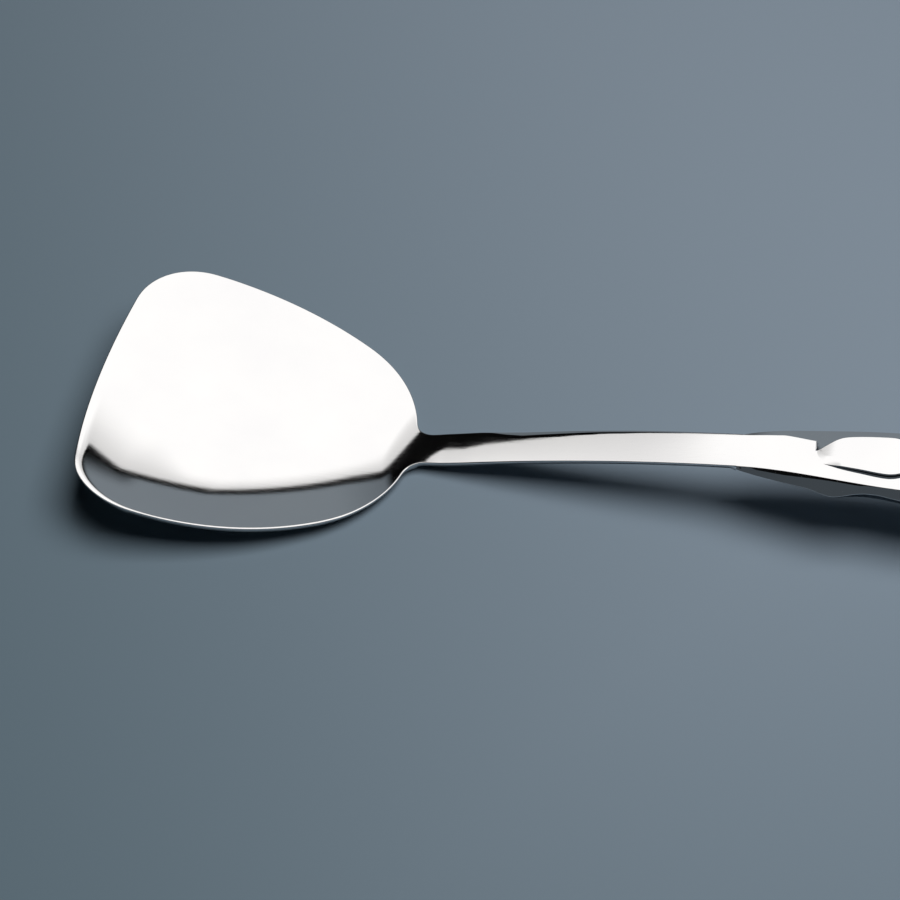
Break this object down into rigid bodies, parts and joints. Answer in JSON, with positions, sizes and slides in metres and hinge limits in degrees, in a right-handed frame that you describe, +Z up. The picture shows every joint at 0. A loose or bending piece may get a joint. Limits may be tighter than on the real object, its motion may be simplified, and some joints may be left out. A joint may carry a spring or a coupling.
{
  "type": "wok spatula",
  "caption": "Polished steel wok spatula: shallow dished head, arched shank and hollow two-shell handle with a thumb rest and a lined hanging hole.",
  "frame": {"origin": "on the table under the middle of the overall box, with the dish and the handle's end resting on the table", "axes": "+X from the head to the handle's end, +Y to the side the thumb rest's notch is on, +Z up"},
  "size_m": [0.38, 0.107, 0.0231],
  "materials": {
    "polished_steel": "mirror polished stainless steel",
    "plain_steel": "plain machined steel"
  },
  "bodies": {
    "root": {"blade": "polished_steel", "grip_top": "polished_steel", "grip_bottom": "polished_steel", "thumb_rest": "polished_steel", "tang_saddle": "plain_steel", "tang_pins": "plain_steel", "hang_tube": "polished_steel", "vent_plug": "plain_steel"}
  },
  "joints": []
}
